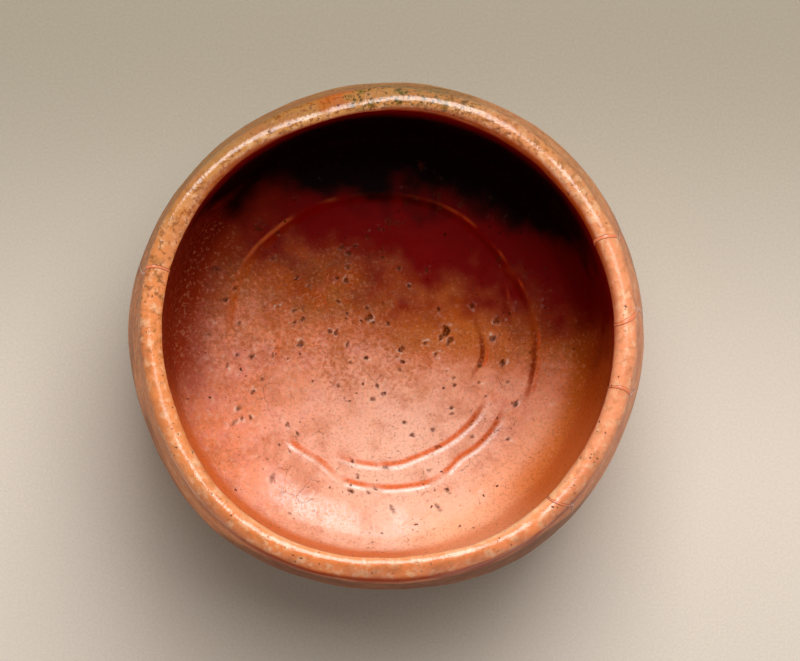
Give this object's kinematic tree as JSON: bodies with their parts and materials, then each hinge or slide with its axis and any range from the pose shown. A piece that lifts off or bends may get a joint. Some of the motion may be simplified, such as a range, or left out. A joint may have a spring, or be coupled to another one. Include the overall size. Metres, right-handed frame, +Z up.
{
  "type": "raku tea bowl",
  "caption": "Hand-formed red raku tea bowl with a rounded lip, a spiral tea pool, a carved foot, a glossy glaze and lacquer-mended cracks.",
  "frame": {"origin": "Middle of the foot ring, on the plane that it stands on.", "axes": "+Z is up through the mouth. +X and +Y are the right and the top of the picture, which looks down into the bowl."},
  "size_m": [0.1191, 0.1171, 0.0849],
  "materials": {
    "bisque_clay": "low-fired red clay, bare and matt on the foot",
    "red_glaze": "glossy salmon-red lead glaze with crackle, pinholes and an ochre to olive tinge on the lip",
    "vermilion_lacquer": "orange-red lacquer fill with dark hairline margins"
  },
  "bodies": {
    "root": {"clay_body": "bisque_clay", "glaze_coat": "red_glaze", "foot_well_glaze": "red_glaze", "lacquer_mend_right_wide": "vermilion_lacquer", "lacquer_mend_right_upper": "vermilion_lacquer", "lacquer_mend_left": "vermilion_lacquer", "lacquer_mend_right_lower": "vermilion_lacquer", "lacquer_mend_front_right": "vermilion_lacquer"}
  },
  "joints": []
}
